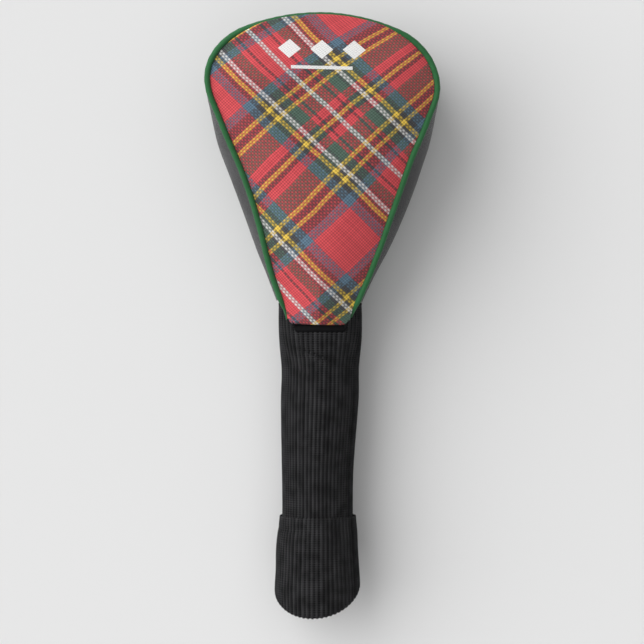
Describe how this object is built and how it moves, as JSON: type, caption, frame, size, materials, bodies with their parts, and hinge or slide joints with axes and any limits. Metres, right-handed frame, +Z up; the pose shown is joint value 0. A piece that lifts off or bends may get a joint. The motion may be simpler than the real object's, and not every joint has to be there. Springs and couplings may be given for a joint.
{
  "type": "driver head cover",
  "caption": "Padded golf driver head cover: pear-shaped shell with a woven check front, leatherette gusset, green piping, and a ribbed knit sock with a turned-up cuff.",
  "frame": {"origin": "middle of the footprint, on the surface that the cover lies on", "axes": "+Y from the sock's open end to the crown, +X to the right of the front panel, +Z up through the front panel"},
  "size_m": [0.1334, 0.3438, 0.0866],
  "materials": {
    "check_cloth": "plain-woven check cloth, red with blue, green, yellow, white and black lines",
    "leatherette": "pebble-grain black leatherette, satin",
    "piping_cloth": "green cloth wrapped on a cord",
    "filler_cord": "white cotton cord",
    "rib_knit": "black ribbed acrylic knit",
    "binding_cloth": "black smooth binding tape",
    "lining": "black brushed fleece",
    "padding": "open-cell foam",
    "elastic": "black braided elastic"
  },
  "bodies": {
    "shell": {"front_panel": "check_cloth", "front_panel_foam": "padding", "front_panel_lining": "lining", "back_panel": "leatherette", "back_panel_foam": "padding", "back_panel_lining": "lining", "left_gusset": "leatherette", "left_gusset_foam": "padding", "left_gusset_lining": "lining", "right_gusset": "leatherette", "right_gusset_foam": "padding", "right_gusset_lining": "lining", "front_piping_cover": "piping_cloth", "front_piping_cord": "filler_cord", "back_piping_cover": "piping_cloth", "back_piping_cord": "filler_cord", "mouth_binding": "binding_cloth", "mouth_elastic": "elastic", "sock_collar": "rib_knit"},
    "sock_upper": {"sock_upper": "rib_knit", "sock_upper_lining": "lining"},
    "sock_lower": {"sock_lower": "rib_knit", "sock_lower_lining": "lining"},
    "cuff": {"cuff": "rib_knit", "cuff_lining": "lining", "cuff_elastic": "elastic"}
  },
  "joints": [
    {"name": "neck_bend", "type": "hinge", "parent": "shell", "child": "sock_upper", "pos_m": [0, -0.02075, 0.0245], "axis": [1, 0, 0], "range_deg": [-28, 28]},
    {"name": "sock_sway", "type": "hinge", "parent": "sock_upper", "child": "sock_lower", "pos_m": [0, -0.06675, 0.0245], "axis": [0, 0, 1], "range_deg": [-28, 28]},
    {"name": "cuff_slide", "type": "slide", "parent": "sock_lower", "child": "cuff", "axis": [0, 1, 0], "range_m": [0, 0.03]}
  ]
}
